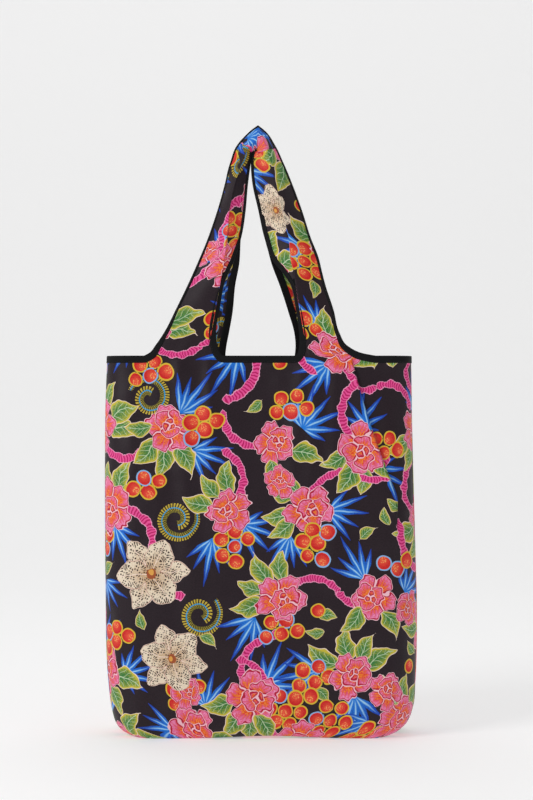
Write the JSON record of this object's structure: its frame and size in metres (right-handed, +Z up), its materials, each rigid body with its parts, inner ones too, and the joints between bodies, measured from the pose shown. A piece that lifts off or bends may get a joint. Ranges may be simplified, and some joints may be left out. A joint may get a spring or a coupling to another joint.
{
  "type": "foldable tote bag",
  "caption": "Standing printed cloth tote with cut-in-one shoulder straps, black taped edges, side gussets, a flat base and a flapped stow pouch inside.",
  "frame": {"origin": "centre of the base where the bag stands, at the bottom of its bounding box", "axes": "+Z up, X along the width, the front panel faces -Y and the pouch hangs inside the +Y panel"},
  "size_m": [0.402, 0.134, 0.7896],
  "materials": {
    "printed_cloth": "light sheen",
    "black_tape": "matte",
    "label_satin": "satin",
    "snap_metal": "black lacquered"
  },
  "bodies": {
    "bag": {"front_panel": "printed_cloth", "back_panel": "printed_cloth", "left_gusset": "printed_cloth", "right_gusset": "printed_cloth", "base_panel": "printed_cloth", "front_neck_binding": "black_tape", "back_neck_binding": "black_tape", "left_armhole_binding": "black_tape", "right_armhole_binding": "black_tape", "front_left_seam_tape": "black_tape", "front_right_seam_tape": "black_tape", "back_left_seam_tape": "black_tape", "back_right_seam_tape": "black_tape", "base_seam_tape": "black_tape", "care_label": "label_satin"},
    "front_handle": {"front_strap_left": "printed_cloth", "front_strap_right": "printed_cloth", "front_outer_binding": "black_tape", "front_inner_binding": "black_tape", "front_top_seam": "printed_cloth"},
    "back_handle": {"back_strap_left": "printed_cloth", "back_strap_right": "printed_cloth", "back_outer_binding": "black_tape", "back_inner_binding": "black_tape", "back_top_seam": "printed_cloth"},
    "pouch": {"pouch_front": "printed_cloth", "pouch_back": "printed_cloth", "pouch_loop": "black_tape", "snap_stud": "snap_metal", "snap_post": "snap_metal"},
    "flap": {"pouch_flap": "printed_cloth", "snap_socket": "snap_metal", "snap_cap": "snap_metal"}
  },
  "joints": [
    {"name": "front_handle_swing", "type": "hinge", "parent": "bag", "child": "front_handle", "pos_m": [0, -0.0435, 0.488], "axis": [1, 0, 0], "range_deg": [0, 160]},
    {"name": "back_handle_swing", "type": "hinge", "parent": "bag", "child": "back_handle", "pos_m": [0, 0.0435, 0.488], "axis": [-1, 0, 0], "range_deg": [0, 160]},
    {"name": "pouch_swing", "type": "hinge", "parent": "bag", "child": "pouch", "pos_m": [0, 0.0405, 0.4765], "axis": [-1, 0, 0], "range_deg": [0, 22]},
    {"name": "flap_open", "type": "hinge", "parent": "pouch", "child": "flap", "pos_m": [0, 0.0392, 0.4548], "axis": [-1, 0, 0], "range_deg": [0, 85]}
  ]
}
